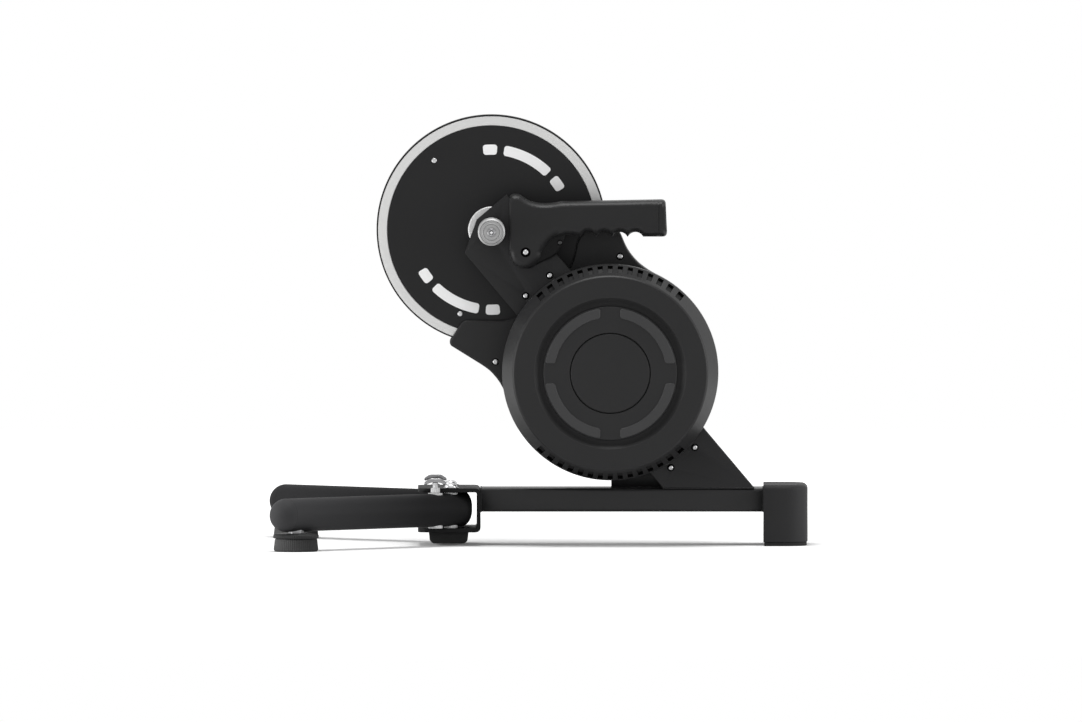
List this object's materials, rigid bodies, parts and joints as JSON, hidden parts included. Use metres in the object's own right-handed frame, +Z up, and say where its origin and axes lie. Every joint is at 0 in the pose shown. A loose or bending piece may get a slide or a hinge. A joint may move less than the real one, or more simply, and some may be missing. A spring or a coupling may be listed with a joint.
{
  "type": "direct drive bike trainer",
  "caption": "Folding-leg bike trainer: belt-driven flywheel brake on a steel beam, with an axle and freehub that take the place of the rear wheel.",
  "frame": {"origin": "on the floor, under the middle of the trainer's box", "axes": "+X to the rear, +Y to the bike's drive side, +Z up"},
  "size_m": [0.5813, 0.4188, 0.4641],
  "materials": {
    "black_steel": "satin black powder coat",
    "dark_steel": "dark zinc",
    "bright_steel": "bright plated",
    "bearing_steel": "ground",
    "silver_aluminium": "turned, satin",
    "rim_aluminium": "turned, bead blasted",
    "flywheel_iron": "machined",
    "coil_copper": "enamelled wire on iron",
    "board_green": "solder mask",
    "black_plastic": "fine grain",
    "black_rubber": "matt",
    "belt_rubber": "matt"
  },
  "bodies": {
    "frame": {"main_beam": "black_steel", "front_bracket": "black_steel", "centre_bumper": "black_rubber", "rear_foot_shell": "black_plastic", "rear_foot_pad": "black_rubber", "near_side_plate": "black_steel", "far_side_plate": "black_steel", "plate_spacer_1": "dark_steel", "plate_spacer_2": "dark_steel", "plate_spacer_3": "dark_steel", "plate_spacer_4": "dark_steel", "frame_bolt_1": "bright_steel", "frame_bolt_2": "bright_steel", "frame_bolt_3": "bright_steel", "frame_bolt_4": "bright_steel", "axle": "dark_steel", "near_axle_cap": "silver_aluminium", "far_axle_cap": "silver_aluminium", "axle_spacer": "dark_steel", "near_axle_bearing": "bearing_steel", "far_axle_bearing": "bearing_steel", "near_shaft_bearing": "bearing_steel", "far_shaft_bearing": "bearing_steel", "drive_belt": "belt_rubber", "housing_cover": "black_plastic", "centre_cap": "black_plastic", "brake_housing": "black_plastic", "brake_core": "coil_copper", "control_board": "board_green", "guard_inner_shell": "black_plastic", "guard_outer_shell": "black_plastic", "power_socket": "black_plastic", "handle_near_shell": "black_plastic", "handle_far_shell": "black_plastic", "handle_end_cap": "black_plastic", "near_pivot_bolt": "bright_steel", "far_pivot_bolt": "bright_steel", "near_lock_sleeve": "bright_steel", "far_lock_sleeve": "bright_steel"},
    "flywheel": {"flywheel": "flywheel_iron", "flywheel_shaft": "bearing_steel", "small_pulley": "silver_aluminium"},
    "pulley": {"drive_pulley": "rim_aluminium", "cover_disc": "black_plastic", "pulley_hub": "silver_aluminium"},
    "freehub": {"freehub_body": "dark_steel"},
    "near_leg": {"near_leg_tube": "black_steel", "near_foot_insert": "bright_steel"},
    "far_leg": {"far_leg_tube": "black_steel", "far_foot_insert": "bright_steel"},
    "near_foot_screw": {"near_foot_stud": "bright_steel"},
    "far_foot_screw": {"far_foot_stud": "bright_steel"},
    "near_foot": {"near_foot_flange": "black_plastic", "near_foot_tread": "black_rubber"},
    "far_foot": {"far_foot_flange": "black_plastic", "far_foot_tread": "black_rubber"},
    "near_lock": {"near_lock_pin": "bright_steel", "near_lock_handle": "bright_steel"},
    "far_lock": {"far_lock_pin": "bright_steel", "far_lock_handle": "bright_steel"}
  },
  "joints": [
    {"name": "flywheel_spin", "type": "hinge", "parent": "frame", "child": "flywheel", "pos_m": [0.0776, 0, 0.188], "axis": [0, 1, 0], "continuous": true},
    {"name": "pulley_spin", "type": "hinge", "parent": "frame", "child": "pulley", "pos_m": [-0.0507, 0, 0.34], "axis": [0, 1, 0], "continuous": true},
    {"name": "freehub_spin", "type": "hinge", "parent": "frame", "child": "freehub", "pos_m": [-0.0507, 0, 0.34], "axis": [0, 1, 0], "continuous": true},
    {"name": "near_leg_fold", "type": "hinge", "parent": "frame", "child": "near_leg", "pos_m": [-0.0944, -0.042, 0.0393], "axis": [0, 0, 1], "range_deg": [-40, 0]},
    {"name": "far_leg_fold", "type": "hinge", "parent": "frame", "child": "far_leg", "pos_m": [-0.0944, 0.042, 0.0393], "axis": [0, 0, 1], "range_deg": [0, 40]},
    {"name": "near_foot_height", "type": "slide", "parent": "near_leg", "child": "near_foot_screw", "axis": [0, 0, -1], "range_m": [0, 0.008]},
    {"name": "near_foot_turn", "type": "hinge", "parent": "near_foot_screw", "child": "near_foot", "pos_m": [-0.26178, -0.18245, 0], "axis": [0, 0, -1], "range_deg": [0, 1920]},
    {"name": "far_foot_height", "type": "slide", "parent": "far_leg", "child": "far_foot_screw", "axis": [0, 0, -1], "range_m": [0, 0.008]},
    {"name": "far_foot_turn", "type": "hinge", "parent": "far_foot_screw", "child": "far_foot", "pos_m": [-0.26178, 0.18245, 0], "axis": [0, 0, -1], "range_deg": [0, 1920]},
    {"name": "near_lock_pull", "type": "slide", "parent": "frame", "child": "near_lock", "axis": [0, 0, 1], "range_m": [-0.0055, 0.003]},
    {"name": "far_lock_pull", "type": "slide", "parent": "frame", "child": "far_lock", "axis": [0, 0, 1], "range_m": [-0.0055, 0.003]}
  ],
  "couplings": [
    {"joint": "pulley_spin", "follows": "flywheel_spin", "ratio": 0.14788},
    {"joint": "near_foot_height", "follows": "near_foot_turn", "m_per_rad": 0.00023873},
    {"joint": "far_foot_height", "follows": "far_foot_turn", "m_per_rad": 0.00023873}
  ]
}
